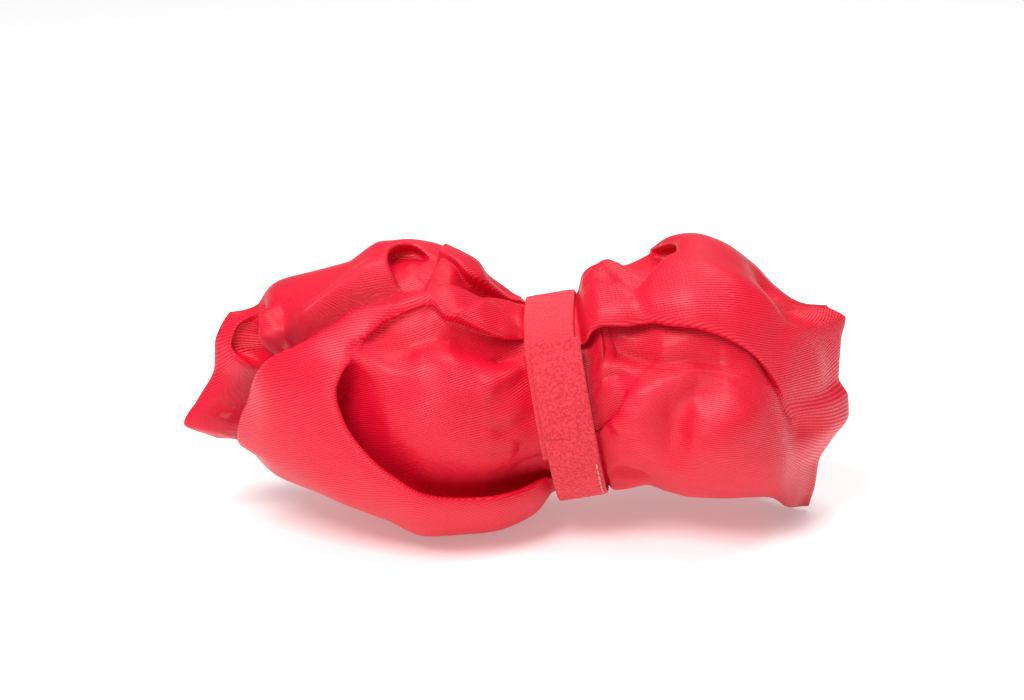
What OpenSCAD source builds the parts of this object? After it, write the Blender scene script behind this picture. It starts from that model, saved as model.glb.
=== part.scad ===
// Rolled cloth bundle held round its waist by a hook-and-loop strap.
// Millimetres. +X runs along the bundle, -Y is the front, +Z is up.
// The origin is on the surface the bundle rests on, under the middle of its outer box.

/* [Cloth] */
// Thickness of one visible lay, a few plies of the same cloth pressed together
lay_t = 2.4; // [1.6:0.2:3]
// Clear space between two neighbouring lays
lay_gap = 0.5; // [0.3:0.1:1]
// How far the open pouch stands off the lay behind it
pouch_gap = 5; // [3:0.5:8]
// How far the hood stands off the lay under it
hood_gap = 1; // [0.5:0.5:2]

/* [Strap] */
// Width of the hook-and-loop tape
strap_w = 20; // [19:0.5:21]
// Thickness of the loop tape with its pile
tape_t = 1.8; // [1.4:0.1:2.4]
// Thickness of the hook tape
hook_t = 1.2; // [1:0.1:1.6]
// Clear space between the hook tape and the pile it presses into
peel_gap = 0.35; // [0.3:0.05:0.6]
// Lean of the strap from the vertical
strap_lean = 10; // [0:1:14]
// Half of the waist's depth inside the strap
waist_ry = 36; // [34:0.5:37]
// Half of the waist's height inside the strap
waist_rz = 39.5; // [38:0.5:40]
// Distance of the strap's middle along the bundle
strap_x = 20.5; // [18:0.5:23]
// Height of the strap's middle
strap_z = 54; // [52:0.5:56]
// Distance of the strap's middle behind the middle of the outer box
strap_y = -5; // [-7:0.5:-2]

/* [Overlap] */
// Angle up from the front at which the overlap ends in its cut tip
tip_angle = 47; // [41:2:51]
// Angle at which the tip bends away from the rest of the overlap
bend_angle = 13; // [9:2:17]
// Angle at which the overlap leaves the band
root_angle = -19.5; // [-25.5:2:-15.5]
// Length of one stitch
stitch_len = 2.2; // [1.6:0.2:3]
// Thickness of the sewing thread
thread_d = 0.6; // [0.4:0.1:0.8]

/* [Hidden] */

cloth_red = [0.88, 0.13, 0.19];
deep_red = [0.70, 0.05, 0.10];
pile_red = [0.83, 0.16, 0.22];
hook_red = [0.72, 0.10, 0.18];
thread_pink = [0.95, 0.62, 0.58];

// Each station of a lobe: its place along X, the middle of its section and half of its
// depth and height. Angles start at the front and rise over the top to the back.
left_stations = [
    [-134, 0, 39, 1.5, 2.5],
    [-124, 0, 49, 8, 15],
    [-116, -1, 56, 16, 27],
    [-106, -2, 58.5, 26, 34],
    [-94, -3, 59.5, 35, 38],
    [-80, -4, 58.5, 43, 43],
    [-64, -5, 56.5, 49, 48],
    [-50, -6, 53.5, 53, 50],
    [-36, -6, 51.5, 55, 52.5],
    [-24, -6, 51.5, 54, 52.5],
    [-12, -6, 52, 50, 50],
    [-2, -5, 52.5, 44, 45.5],
    [9, -5, 54, 35.5, 38.5]
];
right_stations = [
    [32, -5, 54, 35.5, 38.5],
    [36, -4, 58, 40, 42.5],
    [42, -3, 60, 44, 44],
    [58, -2, 61.5, 51, 48],
    [70, -2, 62, 54, 50.5],
    [82, -2, 61, 53, 49.5],
    [94, -2, 57.5, 49, 47],
    [106, -2, 52, 40, 46],
    [118, -2, 46, 26, 46.5],
    [128, -2, 50, 12, 33],
    [134, -2, 47, 2, 10]
];
RING = 28;

// One value of a station, read between the stations on a straight line
function column(stations, k) = [for (s = stations) [s[0], s[k]]];
function at(stations, k, x) = lookup(x, column(stations, k));

// A lobe leans with the strap where it meets it, and stands straight lean_reach away
lean_reach = 50;
lean_fade = 35;
function leaning(x, z) =
    x - tan(strap_lean) * (z - strap_z) * max(0, min(1, (lean_reach - abs(x - strap_x)) / lean_fade));

// A point of a lobe, in from its outer surface by inset, never under the resting surface
function lobe_point(stations, x, a, inset) =
    let (
        y = at(stations, 1, x) - max(at(stations, 3, x) - inset, 0.8) * cos(a),
        z = max(at(stations, 2, x) + max(at(stations, 4, x) - inset, 0.8) * sin(a), max(inset, 0))
    )
    [leaning(x, z), y, z];

// Two triangles for each square of a grid, rows by columns, whose points start at first
function grid_faces(first, rows, cols, turned) = [
    for (i = [0 : rows - 2], j = [0 : cols - 2])
        let (
            a = first + i * cols + j,
            b = a + 1,
            c = a + cols + 1,
            d = a + cols
        )
        each (turned ? [[a, b, c], [a, c, d]] : [[a, c, b], [a, d, c]])
];

// Triangles that close the rim between the two sides of a slab
function rim_faces(rows, cols) =
    let (
        n = rows * cols,
        rim = concat(
            [for (j = [0 : cols - 1]) j],
            [for (i = [1 : rows - 1]) i * cols + cols - 1],
            [for (j = [cols - 2 : -1 : 0]) (rows - 1) * cols + j],
            [for (i = [rows - 2 : -1 : 1]) i * cols]
        ),
        m = len(rim)
    )
    [
        for (k = [0 : m - 1])
            let (
                a = rim[k],
                b = rim[(k + 1) % m]
            )
            each [[b, a, a + n], [b, a + n, b + n]]
    ];

// A curved slab that follows a lobe from x0 to x1, between two angles that may change with x.
// It is thick at the crown, where crown_h is added on the outside, and thins to its edges.
module slab(stations, x0, x1, low, high, inset, t, crown_h = 0, rows = 9, cols = 9) {
    xs = [for (i = [0 : rows - 1]) x0 + (x1 - x0) * i / (rows - 1)];
    outer = [
        for (i = [0 : rows - 1], j = [0 : cols - 1])
            let (
                a0 = lookup(xs[i], low),
                a1 = lookup(xs[i], high),
                rise = crown_h * sin(180 * i / (rows - 1)) * sin(180 * j / (cols - 1))
            )
            lobe_point(stations, xs[i], a0 + (a1 - a0) * j / (cols - 1), inset - rise)
    ];
    inner = [
        for (i = [0 : rows - 1], j = [0 : cols - 1])
            let (
                a0 = lookup(xs[i], low),
                a1 = lookup(xs[i], high)
            )
            lobe_point(stations, xs[i], a0 + (a1 - a0) * j / (cols - 1), inset + t)
    ];
    polyhedron(
        points = concat(outer, inner),
        faces = concat(
            grid_faces(0, rows, cols, true),
            grid_faces(rows * cols, rows, cols, false),
            rim_faces(rows, cols)
        )
    );
}

// How far an angle is from another, whichever way round is shorter
function apart(a, b) = abs(((a - b + 540) % 360) - 180);

// A whole closed length of a lobe. It lies front_in inside the lobe's outer surface within
// half_span of the angle middle, where more lays cover it, and back_in elsewhere.
module plug(stations, x0, x1, front_in = 0, back_in = 0, middle = 0, half_span = 90, rows = 8, cols = RING) {
    fade = 22;
    xs = [for (i = [0 : rows - 1]) x0 + (x1 - x0) * i / (rows - 1)];
    rings = [
        for (x = xs, j = [0 : cols - 1])
            let (
                a = 360 * j / cols,
                covered = max(0, min(1, (half_span - apart(a, middle)) / fade))
            )
            lobe_point(stations, x, a, back_in + (front_in - back_in) * covered)
    ];
    side = [
        for (i = [0 : rows - 2], j = [0 : cols - 1])
            let (
                a = i * cols + j,
                b = i * cols + (j + 1) % cols,
                c = b + cols,
                d = a + cols
            )
            each [[a, b, c], [a, c, d]]
    ];
    first_cap = [for (j = [1 : cols - 2]) [0, j + 1, j]];
    last = (rows - 1) * cols;
    last_cap = [for (j = [1 : cols - 2]) [last, last + j, last + j + 1]];
    polyhedron(points = rings, faces = concat(side, first_cap, last_cap));
}

// Insets of the nested lays, from the outside in
second = lay_t + lay_gap;
pouch_in = lay_t + pouch_gap;
left_core_in = pouch_in + lay_t + 3 * lay_gap;
hood_in = lay_t + hood_gap;
right_core_in = hood_in + lay_t + 3 * lay_gap;

// Upper edge of the front lay, lower edge of the hood and lip of the pouch, as angles along X
front_edge = [[-99, 25], [-74, 50], [-46, 59], [-18, 66], [9, 70]];
pouch_lip = [
    [-110, 18], [-99, 25], [-84, 41], [-76, 36], [-69, 12], [-62, -12], [-50, -26], [-30, -33], [9, -47]
];
hood_edge = [[32, 34], [96, 36], [108, 30], [116, 4], [122, -22]];
lower_edge = [[32, 12], [96, 12], [108, 6], [114, -14], [121, -40]];

// The lobes stop just short of the gathered waist between them
left_end = 8.6;
right_start = 32.4;

module left_inner_roll() {
    color(deep_red)
        plug(left_stations, -100, left_end, left_core_in, second, 0, 108);
}

module left_front_lay() {
    color(cloth_red)
        slab(left_stations, -78, left_end, [[0, -66]], front_edge, pouch_in, lay_t, rows = 8);
}

module left_pouch_fold() {
    color(cloth_red)
        slab(left_stations, -110, left_end, [[0, -112]], pouch_lip, 0, lay_t, rows = 14, cols = 10);
}

module left_back_lay() {
    color(cloth_red)
        slab(left_stations, -110, left_end, [[-108, 52], [-74, 66], [9, 84]], [[0, 244]], 0, lay_t, cols = 12);
}

module left_end_flap() {
    color(cloth_red)
        plug(left_stations, -134, -111, rows = 5, cols = 16);
}

module left_top_roll() {
    color(cloth_red)
        slab(left_stations, -64, -34, [[0, 70]], [[0, 122]], -lay_gap - 1, 1, crown_h = 9, rows = 7, cols = 7);
}

module left_top_pleat() {
    color(cloth_red)
        slab(left_stations, -33, 2, [[0, 66]], [[0, 118]], -lay_gap - 1, 1, crown_h = 7, rows = 7, cols = 7);
}

module right_inner_roll() {
    color(deep_red)
        plug(right_stations, right_start, 122, right_core_in, second, 12, 150);
}

module right_inner_lay() {
    color(cloth_red)
        slab(right_stations, right_start, 104, [[0, 14]], [[0, 74]], hood_in, lay_t, rows = 7);
}

module right_lower_lay() {
    color(cloth_red)
        slab(right_stations, right_start, 121, [[0, -112]], lower_edge, second, lay_t, rows = 10, cols = 10);
}

module right_hood() {
    color(cloth_red)
        slab(right_stations, right_start, 122, hood_edge, [[0, 136]], 0, lay_t, crown_h = 3, rows = 10, cols = 10);
}

module right_back_lay() {
    color(cloth_red)
        slab(right_stations, right_start, 122, [[0, 138]], [[0, 246]], 0, lay_t, rows = 8);
}

module right_top_pleat() {
    color(cloth_red)
        slab(right_stations, 36, 60, [[0, 78]], [[0, 116]], -lay_gap - 3, 1, crown_h = 5, rows = 7, cols = 7);
}

module right_end_rim() {
    color(cloth_red)
        plug(right_stations, 123, 134, rows = 4, cols = 20);
}

// The strap's own frame: its length runs round an oval in YZ, and its width along X
module in_strap_frame() {
    translate([strap_x, strap_y, strap_z])
        rotate([0, -strap_lean, 0])
            children();
}

function oval(a, out) = [-(waist_ry + out) * cos(a), (waist_rz + out) * sin(a)];

// How far the tape's inner face stands off the waist: it climbs over its own other end
overlap_lift = tape_t + peel_gap + hook_t;
climb_start = -100;
function lift(a) = overlap_lift * (1 - cos(180 * max(0, min(1, (a - climb_start) / (root_angle - climb_start))))) / 2;

// A stretch of tape from angle a0 to a1, whose inner face stands inner_lift off the waist.
// Tapes that lie on each other end a whole number of facets apart, so that their faces match.
facet = 2;
module tape(a0, a1, w, inner_lift, t) {
    steps = max(2, round((a1 - a0) / facet));
    angles = [for (i = [0 : steps]) a0 + (a1 - a0) * i / steps];
    rotate([90, 0, 90])
        linear_extrude(height = w, center = true)
            polygon(concat(
                [for (a = angles) oval(a, inner_lift)],
                [for (i = [steps : -1 : 0]) oval(angles[i], inner_lift + t)]
            ));
}

// The cloth gathered inside the strap fills the space between the two lobes
module waist_gather() {
    reach = min(strap_x - left_end, right_start - strap_x) * cos(strap_lean) - 0.2;
    color(deep_red)
        in_strap_frame()
            rotate([90, 0, 90])
                linear_extrude(height = 2 * reach, center = true)
                    polygon([for (a = [0 : 10 : 350]) oval(a, -0.4)]);
}

// The band starts under the overlap, runs over the top, the back and the underside, and
// climbs to the outside of its own first stretch where the overlap leaves it.
module strap_band() {
    first = root_angle + 2;
    run = [for (a = [first : 5 : 260]) [a, 0]];
    climb = [for (a = [climb_start : 5 : root_angle - 0.6]) [a, lift(a)]];
    path = concat(run, climb, [[root_angle - 0.6, lift(root_angle)]]);
    color(pile_red)
        in_strap_frame()
            rotate([90, 0, 90])
                linear_extrude(height = strap_w, center = true)
                    polygon(concat(
                        [for (p = path) oval(p[0], p[1])],
                        [for (i = [len(path) - 1 : -1 : 0]) oval(path[i][0], path[i][1] + tape_t)]
                    ));
}

module strap_tab() {
    color(pile_red)
        in_strap_frame()
            tape(root_angle, bend_angle - 0.5, strap_w, overlap_lift, tape_t);
}

module strap_tab_tip() {
    color(pile_red)
        in_strap_frame()
            tape(bend_angle, tip_angle, strap_w, overlap_lift, tape_t);
}

module hook_patch() {
    color(hook_red)
        in_strap_frame()
            tape(root_angle + facet, bend_angle - 0.5, strap_w - 2, tape_t + peel_gap, hook_t);
}

module hook_patch_tip() {
    color(hook_red)
        in_strap_frame()
            tape(bend_angle, tip_angle - facet, strap_w - 2, tape_t + peel_gap, hook_t);
}

// One stitch lies along the tape at angle a, beside the tape's edge
module stitch(a, across, out) {
    translate([across, oval(a, out)[0], oval(a, out)[1]])
        rotate([-atan2(waist_ry * sin(a), waist_rz * cos(a)), 0, 0])
            cylinder(h = stitch_len, d = thread_d, center = true, $fn = 16);
}

module edge_stitches() {
    color(thread_pink)
        in_strap_frame()
            for (k = [0 : 6])
                let (a = root_angle - 4 - 4.6 * k)
                    stitch(a, strap_w / 2 - 1.8, lift(a) + tape_t + thread_d / 2 + 0.05);
}

// The band is sewn to the cloth behind with a small box of stitches
module anchor_stitches() {
    color(thread_pink)
        in_strap_frame()
            for (side = [-1, 1], k = [-3 : 3])
                stitch(180 + 4.6 * k, side * (strap_w / 2 - 2), tape_t + thread_d / 2 + 0.05);
}

left_inner_roll();
left_front_lay();
left_pouch_fold();
left_back_lay();
left_end_flap();
left_top_roll();
left_top_pleat();
right_inner_roll();
right_inner_lay();
right_lower_lay();
right_hood();
right_back_lay();
right_top_pleat();
right_end_rim();
waist_gather();
strap_band();
strap_tab();
strap_tab_tip();
hook_patch();
hook_patch_tip();
edge_stitches();
anchor_stitches();
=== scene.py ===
"""Rolled bundle of glossy twill cloth, held round its waist by a hook-and-loop strap.

Each lobe of the bundle is one closed skin of cloth. It starts as a smooth lobe, and folds are pressed into it: a fold
pushes the cloth sideways until it laps over itself and lets it sink as it does. The strap is a tape carried along an
oval. Lengths in this file are millimetres unless a name says otherwise, and meshes are written in metres.
"""

import logging
from dataclasses import dataclass, field
from enum import Enum

import bpy
import numpy as np
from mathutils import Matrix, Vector


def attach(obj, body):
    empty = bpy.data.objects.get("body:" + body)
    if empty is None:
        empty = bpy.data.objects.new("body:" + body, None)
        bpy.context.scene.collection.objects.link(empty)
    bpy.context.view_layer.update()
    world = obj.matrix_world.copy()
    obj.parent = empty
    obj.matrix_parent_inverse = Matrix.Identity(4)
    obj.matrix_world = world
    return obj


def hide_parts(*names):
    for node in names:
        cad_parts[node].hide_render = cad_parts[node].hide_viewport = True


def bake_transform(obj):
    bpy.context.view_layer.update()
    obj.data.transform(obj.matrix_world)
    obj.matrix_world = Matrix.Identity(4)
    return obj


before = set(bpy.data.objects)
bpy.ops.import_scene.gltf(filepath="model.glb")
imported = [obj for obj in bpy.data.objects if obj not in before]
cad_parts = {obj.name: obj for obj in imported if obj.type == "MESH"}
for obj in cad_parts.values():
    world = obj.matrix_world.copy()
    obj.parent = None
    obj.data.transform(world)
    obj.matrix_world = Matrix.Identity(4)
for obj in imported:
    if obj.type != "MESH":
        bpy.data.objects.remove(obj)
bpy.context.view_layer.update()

MM = 0.001
LOG = logging.getLogger("bundle")
Array = np.ndarray
Path = tuple[tuple[float, float], ...]  # (distance along a lobe in mm, angle in degrees) points
Tone = tuple[float, float, float]


# ------------------------------------------------------------------------------------------------ shared geometry


def smooth_step(t: Array) -> Array:
    """Rises from 0 to 1 as t goes from 0 to 1, level at both ends: 3t^2 - 2t^3."""
    t = np.clip(t, 0.0, 1.0)
    return t * t * (3.0 - 2.0 * t)


def through(x: Array, keys: list[float], values: list[float]) -> Array:
    """A smooth curve through the given points, read at x.

    Each stretch is a cubic whose slope at a point is the harmonic mean of its two neighbours' slopes, so the curve
    never overshoots. Outside the keys it stays level.

    Args:
        x: where the curve is read.
        keys: rising places of the points.
        values: the curve's height at each key.

    Returns:
        The curve's height at each x.
    """
    k, v = np.array(keys, float), np.array(values, float)
    gap, rise = np.diff(k), np.diff(v)
    slope = rise / gap
    same = slope[:-1] * slope[1:] > 0
    inner = np.where(same, 2 * slope[:-1] * slope[1:] / np.where(same, slope[:-1] + slope[1:], 1.0), 0.0)
    tangent = np.concatenate([[slope[0]], inner, [slope[-1]]])
    x = np.clip(x, k[0], k[-1])
    i = np.clip(np.searchsorted(k, x, side="right") - 1, 0, len(k) - 2)
    t = (x - k[i]) / gap[i]
    t2, t3 = t * t, t * t * t
    return (
        (2 * t3 - 3 * t2 + 1) * v[i]
        + (t3 - 2 * t2 + t) * gap[i] * tangent[i]
        + (3 * t2 - 2 * t3) * v[i + 1]
        + (t3 - t2) * gap[i] * tangent[i + 1]
    )


def unit(v: Array) -> Array:
    """Vectors scaled to length 1 along the last axis."""
    return v / np.maximum(np.linalg.norm(v, axis=-1, keepdims=True), 1e-9)


def grid_quads(rows: int, cols: int) -> Array:
    """Corner indices of each square of a grid of points stored row by row.

    Args:
        rows: number of rows of points.
        cols: number of points in a row.

    Returns:
        An array of shape (squares, 4).
    """
    i, j = np.meshgrid(np.arange(rows - 1), np.arange(cols - 1), indexing="ij")
    a = (i * cols + j).ravel()
    return np.stack([a, a + 1, a + cols + 1, a + cols], axis=1)


def soften(points: Array, times: int) -> Array:
    """A grid of points whose inner points are averaged with their neighbours, as cloth rounds off sharp turns.

    Each pass gives a point half of itself and a quarter of each of its two neighbours, first along the rows and then
    along the columns. The grid's rim stays.

    Args:
        points: the grid, of shape (rows, cols, 3).
        times: number of passes.

    Returns:
        The softened grid.
    """
    out = points.copy()
    for _ in range(times):
        out[1:-1] = 0.25 * out[:-2] + 0.5 * out[1:-1] + 0.25 * out[2:]
        out[:, 1:-1] = 0.25 * out[:, :-2] + 0.5 * out[:, 1:-1] + 0.25 * out[:, 2:]
    return out


def grid_normals(points: Array, step_x: Array, step_y: Array) -> Array:
    """Unit normals of a grid of points, from the cross product of its two directions.

    Args:
        points: the grid, only used for its shape.
        step_x: change of place from row to row.
        step_y: change of place from column to column.

    Returns:
        Array of the grid's shape.
    """
    return unit(np.cross(step_y, step_x)).reshape(points.shape)


def make_mesh(
    name: str, points: Array, faces: list[list[int]], uv: Array | None = None, normals: Array | None = None
) -> bpy.types.Object:
    """A smooth-shaded mesh object at the origin.

    Args:
        name: the object's name.
        points: corner places in millimetres, shape (n, 3).
        faces: corner indices, one row per face.
        uv: optional surface coordinates, one row per point.
        normals: optional shading normals, one row per point.

    Returns:
        The new object, linked to the scene.
    """
    mesh = bpy.data.meshes.new(name)
    mesh.from_pydata((points.reshape(-1, 3) * MM).tolist(), [], faces)
    if uv is not None:
        layer = mesh.uv_layers.new(name="cloth")
        corner = np.empty(len(mesh.loops), np.int32)
        mesh.loops.foreach_get("vertex_index", corner)
        layer.data.foreach_set("uv", uv.reshape(-1, 2)[corner].ravel())
    mesh.polygons.foreach_set("use_smooth", np.ones(len(mesh.polygons), bool))
    mesh.update()
    if normals is not None:
        mesh.normals_split_custom_set_from_vertices(normals.reshape(-1, 3).tolist())
    obj = bpy.data.objects.new(name, mesh)
    bpy.context.scene.collection.objects.link(obj)
    return obj


# ------------------------------------------------------------------------------------------------ folds and lobes


class Under(Enum):
    """Which side of a fold's path goes under, looking along the path from outside the lobe."""

    LEFT = 1.0
    RIGHT = -1.0


@dataclass(frozen=True)
class Fold:
    """A fold along a path on a lobe.

    Across the path at distance d, with t = d / width, the cloth moves sideways by -width * lap * t * exp(-t^2 / 2), so
    it laps over itself where lap passes 1, and it sinks in two steps where it turns back: `lip` at the outer edge and
    `pocket` at the inner one. `sharp` says how steep these steps are. The sunk side rises again over `recover` widths.
    The outer side is raised by `lift`, over `lift_reach` widths, and the weave below turns by `weave_turn` radians.
    `strength` scales all of it along the path.
    """

    path: Path
    strength: tuple[float, ...]
    under: Under
    width: float = 4.0
    lap: float = 4.0
    lip: float = 5.0
    pocket: float = 5.0
    lift: float = 1.5
    recover: float = 5.0
    lift_reach: float = 5.0
    sharp: float = 2.6
    weave_turn: float = 0.0

    def press(self, line: Array, x: Array, s: Array) -> tuple[Array, Array, Array, Array]:
        """Works out what the fold does at places round it.

        The path is where the fold's outer edge ends up, so the fold's own middle lies beside it by the edge's move.

        Args:
            line: the path's points.
            x: places along the lobe.
            s: places across it, in millimetres.

        Returns:
            The moves along and across the lobe, the rise along its normal, and the weave's turn in radians.
        """
        distance, nx, ns, along = from_path(line, x, s)
        distance = distance * self.under.value
        nx, ns = nx * self.under.value, ns * self.under.value
        strong = through(along, list(np.linspace(0, 1, len(self.strength))), list(self.strength))
        lap = self.lap * strong
        turn = np.sqrt(np.clip(1 - 1.3 / np.maximum(lap, 1e-6), 0, 1))
        t = distance / self.width + turn * np.maximum(lap * np.exp(-turn * turn / 2) - 1, 0)
        shift = -self.width * lap * t * np.exp(-t * t / 2)
        lip = self.lip * 0.5 * (1 + np.tanh(self.sharp * (t + turn)))
        pocket = self.pocket * 0.5 * (1 + np.tanh(self.sharp * (t - turn)))
        back = np.where(t > turn, np.exp(-(((t - turn) / self.recover) ** 2)), 1.0)
        outside = np.exp(-(((t + turn) / self.lift_reach) ** 2))
        lifted = self.lift * np.where(t > -turn, 1.0, outside)
        rise = strong * (lifted - lip - pocket) * back
        return nx * shift, ns * shift, rise, self.weave_turn * strong * 0.5 * (1 + np.tanh(2 * t)) * back


@dataclass(frozen=True)
class Swell:
    """A soft ridge along a path, or a hollow where height is negative."""

    path: Path
    height: float
    width: float


@dataclass(frozen=True)
class Station:
    """One cross-section of a lobe: its place along X, its middle, and half of its depth and height."""

    x: float
    y: float
    z: float
    depth: float
    height: float


STRAP_X, STRAP_Y, STRAP_Z = 20.5, -5.0, 54.0
WAIST_RY, WAIST_RZ = 36.0, 39.5  # half depth and half height of the strap's inner oval
LEAN = np.radians(10.0)
PATH_STEPS = 84
ROUND = 50.0  # radius on which a lobe's angles count as lengths across it
FLOOR_NEAR, FLOOR_SOFT = 2.5, 2.4  # cloth lower than the first flattens out towards the floor within the second
SOFT_PASSES, PAD = 3, 5  # how often a patch is softened, and how many more points it is worked out for all round
HEM = 1.6  # length over which a lobe's front and back close at its far end


def path_points(path: Path) -> Array:
    """A path on a lobe as evenly spread points, with its angles turned into millimetres across.

    The points given are joined by smooth cubics (each point's slope is half the step between its neighbours).

    Args:
        path: (mm, degrees) points.

    Returns:
        Array of shape (PATH_STEPS, 2).
    """
    p = np.array(path, float)
    p[:, 1] = np.radians(p[:, 1]) * ROUND
    ends = np.concatenate([[2 * p[0] - p[1]], p, [2 * p[-1] - p[-2]]])
    t = np.linspace(0, len(p) - 1 - 1e-9, PATH_STEPS)
    i = t.astype(int)
    f = (t - i)[:, None]
    a, b, c, d = ends[i], ends[i + 1], ends[i + 2], ends[i + 3]
    return 0.5 * (2 * b + (c - a) * f + (2 * a - 5 * b + 4 * c - d) * f**2 + (3 * b - a - 3 * c + d) * f**3)


def within(line: Array, x: Array, s: Array, reach: float) -> Array:
    """Which places (x, s) lie inside the box round a path, widened by reach."""
    low, high = line.min(0) - reach, line.max(0) + reach
    return (x > low[0]) & (x < high[0]) & (s > low[1]) & (s < high[1])


def from_path(line: Array, x: Array, s: Array) -> tuple[Array, Array, Array, Array]:
    """Distance of each place on a lobe from a path.

    The heading and the place along the path are averaged over the path's points with a bell-shaped weight that widens
    with distance, so they change gently where two stretches of a bent path are equally near.

    Args:
        line: the path's points, from path_points.
        x: places along the lobe, any shape.
        s: places across it, in millimetres, the same shape.

    Returns:
        The signed distance, positive on the path's left, the two parts of the unit vector across the path, and how
        far along the path the nearest place is, from 0 to 1.
    """
    way = unit(np.gradient(line, axis=0)).astype(np.float32)
    line = line.astype(np.float32)
    share = np.linspace(0, 1, len(line), dtype=np.float32)
    table = np.stack([way[:, 0], way[:, 1], share], axis=1)
    flat = np.stack([x.ravel(), s.ravel()], axis=1).astype(np.float32)
    distance = np.empty(len(flat), np.float32)
    mean = np.empty((len(flat), 3), np.float32)
    for start in range(0, len(flat), 20000):
        block = flat[start : start + 20000]
        gap = ((block[:, None, :] - line[None, :, :]) ** 2).sum(2)
        nearest = gap.argmin(1)
        least = gap[np.arange(len(block)), nearest]
        off = block - line[nearest]
        side = way[nearest, 0] * off[:, 1] - way[nearest, 1] * off[:, 0]
        slip = (way[nearest] * off).sum(1)
        away = np.where((nearest == 0) | (nearest == len(line) - 1), slip, 0.0)
        distance[start : start + 20000] = np.sign(side) * np.hypot(side, away)
        spread = 2.0 * (0.8 + 0.3 * np.sqrt(least)) ** 2
        weight = np.exp((least[:, None] - gap) / spread[:, None])
        mean[start : start + 20000] = (weight @ table) / weight.sum(1, keepdims=True)
    heading = unit(mean[:, :2])
    shape = x.shape
    return (
        distance.reshape(shape).astype(float),
        -heading[:, 1].reshape(shape).astype(float),
        heading[:, 0].reshape(shape).astype(float),
        mean[:, 2].reshape(shape).astype(float),
    )


def strap_to_world(local: Array) -> Array:
    """Turns the strap's own frame by its lean and moves it to its place.

    Args:
        local: points in the strap's frame, with a last axis of 3.

    Returns:
        The same points in the shared frame.
    """
    c, s = np.cos(LEAN), np.sin(LEAN)
    x = STRAP_X + local[..., 0] * c - local[..., 2] * s
    z = STRAP_Z + local[..., 0] * s + local[..., 2] * c
    return np.stack([x, STRAP_Y + local[..., 1], z], axis=-1)


def under_strap(points: Array) -> Array:
    """Keeps cloth inside the strap's oval where the strap crosses it.

    A point's distance from the strap's axis, as a share of the oval's, is brought down to 1 where it is more. The hold
    is full within 10 mm of the strap's middle line and fades out over the next 2 mm.

    Args:
        points: cloth points, with a last axis of 3.

    Returns:
        The points after the squeeze.
    """
    c, s = np.cos(LEAN), np.sin(LEAN)
    x, y, z = points[..., 0] - STRAP_X, points[..., 1] - STRAP_Y, points[..., 2] - STRAP_Z
    across, up = x * c + z * s, z * c - x * s
    size = np.hypot(y / (WAIST_RY - 0.4), up / (WAIST_RZ - 0.4))
    hold = smooth_step((12.0 - np.abs(across)) / 2.0)
    shrink = 1 + (np.minimum(1 / np.maximum(size, 1e-6), 1) - 1) * hold
    local = np.stack([across, y * shrink, up * shrink], axis=-1)
    return strap_to_world(local)


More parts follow.
